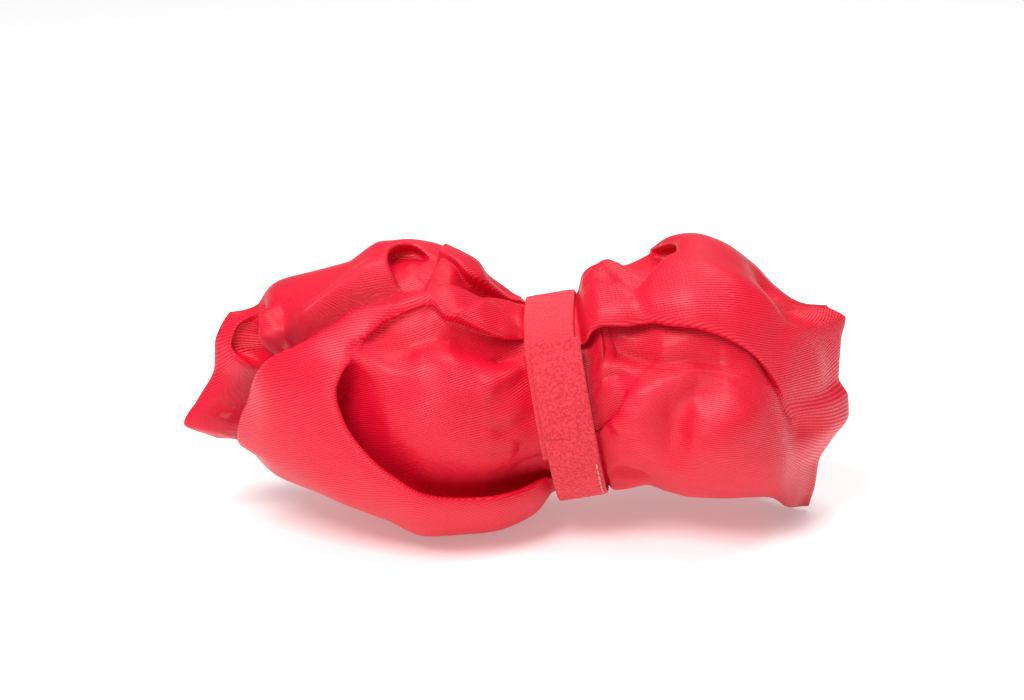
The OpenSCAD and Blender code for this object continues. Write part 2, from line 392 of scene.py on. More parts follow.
@dataclass
class Lobe:
    """One end of the bundle as a skin of cloth, and everything pressed into it.

    The skin runs from `waist_x`, under the strap, to `end_x`. Beyond `end_from` it is trimmed to an outline, which is
    at place end_values[i] along X where its height is end_keys[i]. Near the strap it leans by `lean` radians about the
    height `lean_z`. `tail_bend` pushes the low part of its end back, and `seed` picks its gathers and ripples.
    """

    stations: list[Station]
    waist_x: float
    end_x: float
    end_keys: tuple[float, ...]
    end_values: tuple[float, ...]
    end_from: float
    lean: float
    lean_z: float
    folds: list[Fold] = field(default_factory=list)
    swells: list[Swell] = field(default_factory=list)
    seed: int = 1
    gather_height: float = 2.0
    gather_count: int = 13
    ripple: float = 0.5
    tail_bend: float = 0.0

    def section(self, x: Array) -> tuple[Array, Array, Array, Array]:
        """Reads the stations as smooth curves.

        Args:
            x: places along the lobe.

        Returns:
            The section's middle in Y and Z, its half depth and its half height at each x.
        """
        rows = sorted(self.stations, key=lambda row: row.x)
        keys = [row.x for row in rows]
        return (
            through(x, keys, [row.y for row in rows]),
            through(x, keys, [row.z for row in rows]),
            through(x, keys, [row.depth for row in rows]),
            through(x, keys, [row.height for row in rows]),
        )

    def base(self, x: Array, a: Array) -> Array:
        """The smooth lobe: an oval section at each x, leaning with the strap near it and trimmed to its end's outline.

        Args:
            x: place along the lobe before it leans or is trimmed.
            a: angle in radians, from the front up over the top.

        Returns:
            Points, with a last axis of 3.
        """
        y0, z0, depth, height = self.section(x)
        rim = np.clip(np.abs(x - self.end_x) / HEM, 0, 1)
        y = y0 - depth * np.sqrt(rim * (2 - rim)) * np.cos(a)
        z = z0 + height * np.sin(a)
        near = np.clip((50.0 - np.abs(x - self.waist_x)) / 35.0, 0, 1)
        far = smooth_step((x - self.end_from) / (self.end_x - self.end_from))
        trim = (through(z, list(self.end_keys), list(self.end_values)) - self.end_x) * far
        shifted = x - np.tan(self.lean) * (z - self.lean_z) * near + trim
        y = y + self.tail_bend * far * np.clip((40.0 - z) / 40.0, 0, 1) ** 2
        return np.stack([shifted, y, z], axis=-1)

    def outward(self, x: Array, a: Array) -> Array:
        """Unit normals of the smooth lobe: the cross product of small steps across and along it, turned outward.

        Args:
            x: places along the lobe.
            a: angles in radians.

        Returns:
            Unit vectors, with a last axis of 3.
        """
        step = 0.01
        along = self.base(x + step, a) - self.base(x - step, a)
        across = self.base(x, a + step / ROUND) - self.base(x, a - step / ROUND)
        normal = unit(np.cross(across, along))
        y0, z0, _, _ = self.section(x)
        middle = np.stack([x, y0, z0], axis=-1)
        facing = ((self.base(x, a) - middle)[..., 1:] * normal[..., 1:]).sum(-1, keepdims=True)
        return normal * np.where(facing.mean() < 0, -1.0, 1.0)

    def gathers(self, x: Array, a: Array) -> Array:
        """Pleats that the strap draws in: rounded tops and sharp valleys round the waist, dying away from it.

        The height is |sin| of a wandering angle, raised to 0.6, so its valleys are creases and its tops are round.
        Broad pleats reach further from the strap than fine ones.

        Args:
            x: places along the lobe.
            a: angles in radians.

        Returns:
            Heights in millimetres.
        """
        rng = np.random.default_rng(self.seed)
        away = np.abs(x - self.waist_x)
        total = np.zeros_like(x)
        for count, reach, share in ((self.gather_count, 15.0, 0.75), (self.gather_count // 2, 30.0, 1.0)):
            p = rng.uniform(0, 2 * np.pi, 4)
            wander = 0.35 * np.sin(a + p[0]) + 0.22 * np.sin(2 * a + p[1] + away / 24.0) + 0.12 * np.sin(5 * a + p[2])
            wave = np.abs(np.sin(0.5 * count * (a + wander) + p[3]))
            patchy = 0.55 + 0.45 * np.sin(3 * a + p[1])
            start = smooth_step((away - 8.0) / 10.0)
            total += share * patchy * (wave**0.6 - 0.7) * np.exp(-away / reach) * start * 2.2
        return total * self.gather_height

    def ripples(self, x: Array, a: Array) -> Array:
        """Broad soft dents all over: a sum of long waves of different directions, the same every run.

        Args:
            x: places along the lobe.
            a: angles in radians.

        Returns:
            Heights in millimetres.
        """
        rng = np.random.default_rng(self.seed + 50)
        total = np.zeros_like(x)
        for _ in range(14):
            turns = rng.integers(-7, 8)
            slow = rng.uniform(-0.16, 0.16)
            phase = rng.uniform(0, 2 * np.pi)
            size = 1.0 / (1.0 + 0.25 * abs(turns) + 9.0 * abs(slow))
            total += size * np.sin(turns * a + slow * x + phase)
        away = np.abs(x - self.waist_x)
        return total * self.ripple * smooth_step((away - 10.0) / 25.0)

    def skin(self, x: Array, a: Array) -> tuple[Array, Array]:
        """The folded skin at given places of the smooth lobe.

        Every fold adds a sideways move in the lobe's own (along, across) plane and a sinking along its normal. The
        moved places are looked up on the smooth lobe, so that lapped cloth follows the lobe's curve. The weave's
        coordinates are those places too, turned a little more under each fold.

        Args:
            x: places along the lobe.
            a: angles in radians.

        Returns:
            The points, in millimetres, and the weave's coordinates, in metres.
        """
        s = a * ROUND
        move_x, move_s, rise, turned = np.zeros_like(x), np.zeros_like(x), np.zeros_like(x), np.zeros_like(x)
        for swell in self.swells:
            line = path_points(swell.path)
            near = within(line, x, s, 2.6 * swell.width)
            distance, _, _, along = from_path(line, x[near], s[near])
            fade = smooth_step(np.minimum(along, 1 - along) * 3.2)
            rise[near] += swell.height * fade * np.exp(-((distance / swell.width) ** 2))
        for fold in self.folds:
            line = path_points(fold.path)
            near = within(line, x, s, fold.width * 2.4 * max(fold.recover, fold.lift_reach))
            moved = fold.press(line, x[near], s[near])
            move_x[near] += moved[0]
            move_s[near] += moved[1]
            rise[near] += moved[2]
            turned[near] += moved[3]
        rise += self.gathers(x, a) + self.ripples(x, a)
        near_x, near_a = x + move_x, a + move_s / ROUND
        near_x = np.clip(near_x, min(self.waist_x, self.end_x), max(self.waist_x, self.end_x))
        held = smooth_step((np.abs(near_x - self.waist_x) - 9.0) / 11.0)
        closing = smooth_step(np.abs(near_x - self.end_x) / 14.0)
        rise = np.where(rise > 0, rise * held, rise * (0.4 + 0.6 * held)) * closing
        points = self.base(near_x, near_a) + self.outward(near_x, near_a) * rise[..., None]
        z = points[..., 2]
        points[..., 2] = np.where(z < FLOOR_NEAR, 0.1 + FLOOR_SOFT * np.exp((z - FLOOR_NEAR) / FLOOR_SOFT), z)
        _, _, depth, height = self.section(near_x)
        weave_v = (near_a - 0.35) * (depth + height) / 2
        weave = np.stack([
            near_x * np.cos(turned) - weave_v * np.sin(turned), near_x * np.sin(turned) + weave_v * np.cos(turned)
        ], axis=-1) * MM
        return under_strap(points), weave

    def patch(self, low: float, high: float, rows: int, cols: int) -> tuple[Array, Array, Array]:
        """A grid of skin points between two angles.

        Args:
            low: first angle in degrees.
            high: last angle in degrees.
            rows: points along the lobe.
            cols: points across it.

        Returns:
            The points, of shape (rows, cols, 3), in millimetres, their normals and their weave coordinates.
        """
        step_x, step_a = 1.0 / (rows - 1), np.radians(high - low) / (cols - 1)
        t = np.linspace(-PAD * step_x, 1 + PAD * step_x, rows + 2 * PAD)
        x = self.waist_x + (self.end_x - self.waist_x) * t
        a = np.linspace(np.radians(low) - PAD * step_a, np.radians(high) + PAD * step_a, cols + 2 * PAD)
        xx, aa = np.meshgrid(x, a, indexing="ij")
        folded, weave = self.skin(xx, aa)
        points = soften(folded, SOFT_PASSES)
        points[-1 - PAD] = folded[-1 - PAD]  # the far hem, where front and back close on one line
        points = points[PAD - 1 : 1 - PAD, PAD - 1 : 1 - PAD]
        along = points[2:, 1:-1] - points[:-2, 1:-1]
        across = points[1:-1, 2:] - points[1:-1, :-2]
        inner = points[1:-1, 1:-1]
        turned = 1.0 if self.end_x > self.waist_x else -1.0
        return inner, grid_normals(inner, along, across) * turned, weave[PAD:-PAD, PAD:-PAD]


# ------------------------------------------------------------------------------------------------ finishes


def new_material(name: str) -> tuple[bpy.types.Material, bpy.types.ShaderNodeTree, bpy.types.Node]:
    """A material with an empty tree but for its output and Principled shader.

    Args:
        name: the material's name.

    Returns:
        The material, its node tree and the shader node.
    """
    material = bpy.data.materials.new(name)
    material.use_nodes = True
    tree = material.node_tree
    tree.nodes.clear()
    out = tree.nodes.new("ShaderNodeOutputMaterial")
    shader = tree.nodes.new("ShaderNodeBsdfPrincipled")
    tree.links.new(shader.outputs["BSDF"], out.inputs["Surface"])
    return material, tree, shader


def math(
    tree: bpy.types.NodeTree, operation: str, a: object, b: object = None, c: object = None
) -> bpy.types.NodeSocket:
    """A math node whose inputs are sockets or numbers.

    Args:
        tree: the tree that gets the node.
        operation: the node's operation.
        a: first input.
        b: second input, where there is one.
        c: third input, where there is one.

    Returns:
        The node's result.
    """
    node = tree.nodes.new("ShaderNodeMath")
    node.operation = operation
    for socket, value in zip(node.inputs, (a, b, c)):
        if isinstance(value, bpy.types.NodeSocket):
            tree.links.new(value, socket)
        elif value is not None:
            socket.default_value = value
    return node.outputs[0]


def set_inputs(node: bpy.types.Node, values: dict[str, object]) -> None:
    """Sets a node's unlinked inputs by name."""
    for name, value in values.items():
        node.inputs[name].default_value = value


def tone_ramp(
    tree: bpy.types.NodeTree, factor: bpy.types.NodeSocket, shader: bpy.types.Node, low: Tone, high: Tone,
    ends: tuple[float, float] = (0.0, 1.0),
) -> None:
    """Colours a shader's base by a ramp between two tones.

    Args:
        tree: the material's tree.
        factor: where on the ramp each place is.
        shader: the shader that gets the colour.
        low: tone at and before the first end.
        high: tone at and after the second end.
        ends: where on the ramp the two tones lie.
    """
    ramp = tree.nodes.new("ShaderNodeValToRGB")
    for element, place, tone in zip(ramp.color_ramp.elements, ends, (low, high)):
        element.position = place
        element.color = (*tone, 1)
    tree.links.new(factor, ramp.inputs["Fac"])
    tree.links.new(ramp.outputs["Color"], shader.inputs["Base Color"])


def add_bump(
    tree: bpy.types.NodeTree, height: bpy.types.NodeSocket, shader: bpy.types.Node, distance: float,
    strength: float = 1.0,
) -> None:
    """Feeds a height, of the given size in metres, to a shader's normal.

    Args:
        tree: the material's tree.
        height: the height, from 0 to 1.
        shader: the shader that gets the normal.
        distance: the height's real size in metres.
        strength: how much of it shows.
    """
    bump = tree.nodes.new("ShaderNodeBump")
    set_inputs(bump, {"Strength": strength, "Distance": distance})
    tree.links.new(height, bump.inputs["Height"])
    tree.links.new(bump.outputs["Normal"], shader.inputs["Normal"])


def twill_group() -> bpy.types.NodeTree:
    """A node group that draws twill: slanting ribs of short floats.

    Inputs are the surface coordinate in metres, the rib spacing in metres and the ribs' slant in radians. Outputs are
    the height of the weave, from 0 between ribs to 1 on a float, and a slow mottle from 0 to 1. The ribs are a cosine
    across the slant, and the floats are a shorter cosine along it that steps on with each rib.

    Returns:
        The node group.
    """
    tree = bpy.data.node_groups.new("twill_weave", "ShaderNodeTree")
    face = tree.interface
    face.new_socket("Coordinate", in_out="INPUT", socket_type="NodeSocketVector")
    for name, way in (("Spacing", "INPUT"), ("Slant", "INPUT"), ("Height", "OUTPUT"), ("Mottle", "OUTPUT")):
        face.new_socket(name, in_out=way, socket_type="NodeSocketFloat")
    inputs = tree.nodes.new("NodeGroupInput")
    outputs = tree.nodes.new("NodeGroupOutput")
    spread = tree.nodes.new("ShaderNodeTexNoise")
    set_inputs(spread, {"Scale": 28.0, "Detail": 1.0})
    tree.links.new(inputs.outputs["Coordinate"], spread.inputs["Vector"])
    bend = math(tree, "MULTIPLY", math(tree, "SUBTRACT", spread.outputs["Fac"], 0.5), 0.006)
    parts = tree.nodes.new("ShaderNodeSeparateXYZ")
    tree.links.new(inputs.outputs["Coordinate"], parts.inputs[0])
    u = math(tree, "ADD", parts.outputs["X"], bend)
    v = math(tree, "ADD", parts.outputs["Y"], bend)
    cosine = math(tree, "COSINE", inputs.outputs["Slant"])
    sine = math(tree, "SINE", inputs.outputs["Slant"])
    over = math(tree, "SUBTRACT", math(tree, "MULTIPLY", v, cosine), math(tree, "MULTIPLY", u, sine))
    along = math(tree, "ADD", math(tree, "MULTIPLY", u, cosine), math(tree, "MULTIPLY", v, sine))
    ribs = math(tree, "MULTIPLY", math(tree, "DIVIDE", over, inputs.outputs["Spacing"]), 2 * np.pi)
    rib = math(tree, "MULTIPLY_ADD", math(tree, "COSINE", ribs), 0.5, 0.5)
    floats = math(tree, "MULTIPLY", math(tree, "DIVIDE", along, inputs.outputs["Spacing"]), 2 * np.pi * 0.8)
    float_wave = math(tree, "MULTIPLY_ADD", math(tree, "COSINE", math(tree, "ADD", floats, ribs)), 0.5, 0.5)
    height = math(tree, "MULTIPLY", rib, math(tree, "MULTIPLY_ADD", float_wave, 0.35, 0.65))
    slow = tree.nodes.new("ShaderNodeTexNoise")
    set_inputs(slow, {"Scale": 60.0, "Detail": 3.0})
    tree.links.new(inputs.outputs["Coordinate"], slow.inputs["Vector"])
    tree.links.new(height, outputs.inputs["Height"])
    tree.links.new(slow.outputs["Fac"], outputs.inputs["Mottle"])
    return tree


@dataclass(frozen=True)
class TwillFinish:
    """Glossy polyester twill: fine slanting ribs with painted shade between them, a soft sheen and saturated folds."""

    name: str
    slant: float = 0.25
    spacing: float = 0.00095
    rib: Tone = (0.92, 0.004, 0.044)
    # the gap tone is painted shade in the grooves between the ribs
    gap: Tone = (0.60, 0.000, 0.010)
    roughness: float = 0.36
    gloss: float = 0.3

    def material(self, weave: bpy.types.NodeTree) -> bpy.types.Material:
        """Builds the finish round the shared twill group.

        Args:
            weave: the twill group.

        Returns:
            The material.
        """
        material, tree, shader = new_material(self.name)
        place = tree.nodes.new("ShaderNodeUVMap")
        place.uv_map = "cloth"
        group = tree.nodes.new("ShaderNodeGroup")
        group.node_tree = weave
        set_inputs(group, {"Spacing": self.spacing, "Slant": self.slant})
        tree.links.new(place.outputs["UV"], group.inputs["Coordinate"])
        # the base colour runs from the gap's painted shade to the rib tone with the weave's height, plus a little
        # random mottle
        colour = tree.nodes.new("ShaderNodeMix")
        colour.data_type = "RGBA"
        set_inputs(colour, {"A": (*self.gap, 1), "B": (*self.rib, 1)})
        ribs = math(tree, "MULTIPLY", group.outputs["Height"], 1.0)
        shade_and_mottle = math(tree, "MULTIPLY_ADD", group.outputs["Mottle"], 0.25, ribs)
        tree.links.new(shade_and_mottle, colour.inputs["Factor"])
        tree.links.new(colour.outputs["Result"], shader.inputs["Base Color"])
        rough = math(tree, "MULTIPLY_ADD", group.outputs["Height"], -0.08, self.roughness + 0.05)
        tree.links.new(rough, shader.inputs["Roughness"])
        add_bump(tree, group.outputs["Height"], shader, 0.0002)
        gloss = math(tree, "MULTIPLY", group.outputs["Height"], self.gloss)
        tree.links.new(gloss, shader.inputs["Coat Weight"])
        set_inputs(shader, {
            "Coat Roughness": 0.30, "Coat IOR": 1.6, "Specular IOR Level": 0.30,
            "Sheen Weight": 0.03, "Sheen Roughness": 0.4, "Sheen Tint": (1.0, 0.55, 0.58, 1),
        })
        return material


@dataclass(frozen=True)
class PileFinish:
    """Brushed loop pile: dull, lumpy, slightly paler on its loop tips and with painted shade low between them."""

    name: str
    tip: Tone = (0.87, 0.044, 0.068)
    # root: painted shade at the foot of the loops, between the lumps
    root: Tone = (0.60, 0.008, 0.026)
    lump: float = 1100.0
    depth: float = 0.8

    def material(self) -> bpy.types.Material:
        """Builds the finish from fine noise in object space, which sets its bump and its painted shade.

        Returns:
            The material.
        """
        material, tree, shader = new_material(self.name)
        place = tree.nodes.new("ShaderNodeTexCoord")
        lumps = tree.nodes.new("ShaderNodeTexNoise")
        set_inputs(lumps, {"Scale": self.lump, "Detail": 4.0, "Roughness": 0.65})
        tree.links.new(place.outputs["Object"], lumps.inputs["Vector"])
        # the tone follows the bump: painted shade where the pile is low, paler on the loop tops
        tone_ramp(tree, lumps.outputs["Fac"], shader, self.root, self.tip, ends=(0.40, 0.60))
        add_bump(tree, lumps.outputs["Fac"], shader, 0.0006, self.depth)
        set_inputs(shader, {
            "Roughness": 0.85, "Sheen Weight": 0.2, "Sheen Roughness": 0.6, "Sheen Tint": (1.0, 0.5, 0.5, 1),
        })
        return material


@dataclass(frozen=True)
class HookFinish:
    """Hook tape: dull plastic hooks in close rows on a woven ground, with painted shade between the hooks."""

    name: str
    tone: Tone = (0.45, 0.01, 0.03)
    pitch: float = 0.0014

    def material(self) -> bpy.types.Material:
        """Builds rows of small round tops from two crossed waves, with painted shade between the tops.

        Returns:
            The material.
        """
        material, tree, shader = new_material(self.name)
        place = tree.nodes.new("ShaderNodeUVMap")
        place.uv_map = "cloth"
        parts = tree.nodes.new("ShaderNodeSeparateXYZ")
        tree.links.new(place.outputs["UV"], parts.inputs[0])
        turns = 2 * np.pi / self.pitch
        rows = math(tree, "COSINE", math(tree, "MULTIPLY", parts.outputs["X"], turns))
        columns = math(tree, "COSINE", math(tree, "MULTIPLY", parts.outputs["Y"], turns))
        dots = math(tree, "MULTIPLY_ADD", math(tree, "ADD", rows, columns), 0.25, 0.5)
        # painted shade: half the tone where the dots are low, between the hooks
        tone_ramp(tree, dots, shader, tuple(0.5 * c for c in self.tone), self.tone)
        add_bump(tree, dots, shader, 0.0008)
        shader.inputs["Roughness"].default_value = 0.5
        return material


@dataclass(frozen=True)
class ThreadFinish:
    """Pale sewing thread with a slight twist, with painted shade in the twist's grooves."""

    name: str
    tone: Tone = (0.90, 0.42, 0.36)

    def material(self) -> bpy.types.Material:
        """Builds a fine twist from a wave texture, which sets its bump and its painted shade in the grooves.

        Returns:
            The material.
        """
        material, tree, shader = new_material(self.name)
        place = tree.nodes.new("ShaderNodeTexCoord")
        twist = tree.nodes.new("ShaderNodeTexWave")
        set_inputs(twist, {"Scale": 900.0, "Distortion": 1.0})
        tree.links.new(place.outputs["Object"], twist.inputs["Vector"])
        # painted shade: three quarters of the tone in the grooves of the twist
        tone_ramp(tree, twist.outputs["Fac"], shader, tuple(0.75 * c for c in self.tone), self.tone)
        add_bump(tree, twist.outputs["Fac"], shader, 0.0001)
        shader.inputs["Roughness"].default_value = 0.6
        return material


# ------------------------------------------------------------------------------------------------ the bundle's pieces

ROOT, CLIMB_START, OVERLAP = -19.5, -100.0, 3.35  # angles at which the climb ends and starts, and its height
TAPE_RADIUS = 42.0  # radius on which the tape's angles count as lengths along it
BACK_FROM = 100.0  # a patch that starts past this angle is behind, and gets a coarser grid
BUNDLE = "bundle"


@dataclass
class ClothLobe:
    """A lobe cut into named patches of cloth, which all share one finish."""

    lobe: Lobe
    patches: tuple[tuple[str, float, float, tuple[str, ...]], ...]
    finish: TwillFinish
    rows: int = 350
    step: float = 0.48

    def build(self, weave: bpy.types.NodeTree) -> list[bpy.types.Object]:
        """Makes and dresses every patch, hangs it on the bundle and hides the frame's parts it stands for.

        Args:
            weave: the twill group.

        Returns:
            The new objects.
        """
        made = []
        material = self.finish.material(weave)
        for name, low, high, nodes in self.patches:
            step = self.step if low < BACK_FROM else 1.6 * self.step
            cols = int(np.radians(high - low) * ROUND / step)
            points, normals, weave_uv = self.lobe.patch(low, high, self.rows, cols)
            quads = grid_quads(self.rows, cols)
            if self.lobe.end_x < self.lobe.waist_x:
                quads = quads[:, ::-1]
            obj = make_mesh(name, points, quads.tolist(), weave_uv, normals)
            obj.data.materials.append(material)
            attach(obj, BUNDLE)
            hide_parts(*nodes)
            made.append(obj)
        return made


def drag_lines(seed: int, count: int, along: tuple[float, float], around: tuple[float, float]) -> list[Swell]:
    """Soft creases that run out from the strap, the same every run.

    Args:
        seed: which set of creases.
        count: how many.
        along: where along the lobe they may lie.
        around: between which angles they may lie.

    Returns:
        Ridges and hollows in turn, each of random length, height and width.
    """
    rng = np.random.default_rng(seed)
    found = []
    for k in range(count):
        start = along[0] + (along[1] - along[0]) * rng.uniform(0, 0.75) ** 1.3
        length = rng.uniform(0.25, 0.5) * (along[1] - along[0])
        angle, drift = rng.uniform(*around), rng.uniform(-16, 16)
        path = ((start, angle), (start + 0.5 * length, angle + 0.35 * drift), (start + length, angle + drift))
        sign = 1.0 if k % 2 else -1.0
        found.append(Swell(path, sign * rng.uniform(1.4, 3.0), rng.uniform(3.0, 6.0)))
    return found


def left_lobe() -> ClothLobe:
    """The longer lobe, with the open pouch low on its front and two humps on top.

    Returns:
        The lobe with its patches and finish.
    """
    stations = [
        Station(20.5, -5, 54, 35.2, 38.7), Station(9, -5, 54, 35.8, 39.3), Station(-2, -5, 52.5, 44, 46.5),
        Station(-12, -6, 53.5, 50, 51.5), Station(-24, -6, 55, 54, 54), Station(-36, -6, 55.1, 55, 55.0),
        Station(-50, -6, 57, 53, 51), Station(-64, -5, 58.5, 49, 48.5), Station(-80, -4, 59, 43, 44),
        Station(-94, -3, 59.5, 35, 40.5), Station(-106, -2, 59.5, 24, 36), Station(-116, -1, 60, 14, 31.5),
        Station(-125, 0, 60, 7, 28), Station(-134, 0, 60, 1.0, 27),
    ]
    folds = [
        # the open pouch's lip
        Fold(
            path=((-62, 33), (-67, 24), (-69, 13), (-64, -3), (-54, -15), (-38, -23), (-24, -28), (-8, -31),
                  (4, -36), (16, -46)),
            strength=(0.0, 0.7, 1.0, 1.0, 1.0, 1.0, 1.0, 1.0, 0.9, 0.8), under=Under.LEFT,
            width=4.4, lap=4.6, lip=5.0, pocket=8.5, lift=3.0, recover=4.4,
        ),
        # the front lay's upper and left edge
        Fold(
            path=((18, 84), (10, 86), (-3, 80), (-21, 72), (-38, 69), (-58, 61), (-72, 49), (-87, 37), (-99, 24),
                  (-110, -6), (-111, -37), (-112, -60)),
            strength=(0.9, 1.0, 1.0, 1.0, 1.0, 1.0, 1.0, 1.0, 1.0, 0.9, 0.7, 0.0), under=Under.RIGHT,
            width=2.6, lap=3.8, lip=5.2, pocket=3.6, lift=2.2, recover=3.6, sharp=3.4,
            weave_turn=0.45,
        ),
        # the rim that curls round the far end's hollow
        Fold(
            path=((-95, 27), (-105, 21), (-116, 19), (-124, 25), (-126, 38), (-125, 58), (-114, 80)),
            strength=(0.0, 0.9, 1.0, 1.0, 1.0, 0.8, 0.0), under=Under.RIGHT,
            width=2.2, lap=2.6, lip=2.8, pocket=3.8, lift=1.4, recover=5.0,
        ),
        # the lip curled round the cave in the first hump
        Fold(
            path=((-42, 71), (-47, 78), (-50, 88), (-47, 96), (-40, 98), (-33, 93)),
            strength=(0.0, 1.0, 1.0, 1.0, 0.9, 0.0), under=Under.RIGHT,
            width=2.4, lap=3.2, lip=3.0, pocket=4.5, lift=0.9, recover=3.6,
        ),
        # the crease between the two humps
        Fold(
            path=((-43, 70), (-37, 75), (-32, 86), (-30, 98), (-28, 116)), strength=(0.0, 1.0, 1.0, 1.0, 0.0),
            under=Under.LEFT, width=2.5, lap=3.0, lip=2.8, pocket=3.6, lift=0.8, recover=3.5,
        ),
        # the line that runs over the second hump to the strap
        Fold(
            path=((-30, 94), (-18, 83), (-5, 86), (12, 98)), strength=(0.0, 1.0, 1.0, 0.8), under=Under.RIGHT,
            width=2.4, lap=2.0, lip=2.0, pocket=1.0, lift=1.0, recover=4.0,
        ),
        # the rolled edge under the front lay's top, and the small fold it leads to beside the strap
        Fold(
            path=((-68, 36), (-58, 43), (-48, 51), (-34, 56), (-27, 53), (-14, 51), (0, 50), (14, 52)),
            strength=(0.0, 0.5, 0.9, 0.9, 0.6, 0.9, 1.0, 1.0), under=Under.RIGHT,
            width=3.0, lap=2.5, lip=3.4, pocket=1.6, lift=1.2, recover=6.0,
        ),
        Fold(
            path=((-25, 56), (-15, 61), (-5, 69), (2, 64), (13, 62)), strength=(0.0, 0.8, 1.0, 1.0, 1.0),
            under=Under.LEFT, width=2.2, lap=2.2, lip=2.0, pocket=1.4, lift=0.8, recover=4.0,
        ),
    ]
    folds += [
        # the cloth's last turn laps over itself along the back
        Fold(
            path=((20, 158), (4, 156), (-30, 150), (-66, 152), (-96, 164), (-116, 180)),
            strength=(0.9, 1.0, 1.0, 1.0, 0.9, 0.0), under=Under.LEFT,
            width=3.0, lap=3.4, lip=3.8, pocket=2.4, lift=1.8, recover=6.0,
        ),
        Fold(
            path=((20, 214), (0, 212), (-24, 222), (-50, 224)), strength=(0.9, 1.0, 0.9, 0.0), under=Under.RIGHT,
            width=2.8, lap=2.8, lip=3.0, pocket=2.2, lift=1.4, recover=5.0,
        ),
    ]
    swells = [
        Swell(((-68, 104), (-44, 104), (-20, 104)), 7.0, 14.0),  # the first hump
        Swell(((-34, 100), (-19, 98), (-4, 98)), 3.6, 11.0),  # the second hump
        Swell(((-64, 34), (-47, 40), (-37, 44), (-25, 45), (-6, 44), (10, 46)), -5.0, 6.5),
        Swell(((-101, 29), (-104, 51), (-99, 68)), 3.2, 4.0),
        Swell(((-94, 32), (-92, 46), (-92, 58), (-94, 74)), -3.4, 5.0),
        Swell(((-91, 38), (-84, 54), (-72, 68), (-58, 82), (-52, 102)), 3.6, 4.5),
        Swell(((-81, 48), (-67, 59), (-53, 70), (-44, 74)), -2.6, 3.5),
        Swell(((-112, 16), (-115, 30), (-115, 46), (-111, 62)), -10.0, 8.0),  # the far end's hollow
        Swell(((-106, 6), (-117, -14), (-124, -34)), -4.0, 6.0),
        Swell(((14, 40), (-4, 28), (-15, 18)), 3.0, 4.0),
        Swell(((14, 46), (6, 42), (-6, 35)), -3.4, 3.2),
        Swell(((18, -18), (8, -25), (1, -27)), -2.4, 2.4),
        Swell(((18, 8), (4, 4), (-12, 2)), -1.6, 3.5),
        Swell(((-90, -20), (-60, -50), (-20, -62), (14, -70)), 2.0, 12.0),
    ] + drag_lines(21, 16, (6, -110), (112, 262))
    lobe = Lobe(
        stations, STRAP_X, -134.0, (33, 39, 50, 64, 74, 81, 86, 90),
        (-121, -134, -128, -121, -120.5, -118, -115, -111), -92.0,
        LEAN, STRAP_Z, folds, swells, seed=4,
    )
    patches = (
        ("left_pouch_cloth", -110.0, -20.0, ("left_pouch_fold",)),
        ("left_front_cloth", -20.0, 52.0, ("left_front_lay", "left_end_flap")),
        ("left_top_cloth", 52.0, 132.0, ("left_top_roll", "left_top_pleat")),
        ("left_back_cloth", 132.0, 250.0, ("left_back_lay", "left_inner_roll", "waist_gather")),
    )
    return ClothLobe(lobe, patches, TwillFinish("left_twill", slant=0.35))


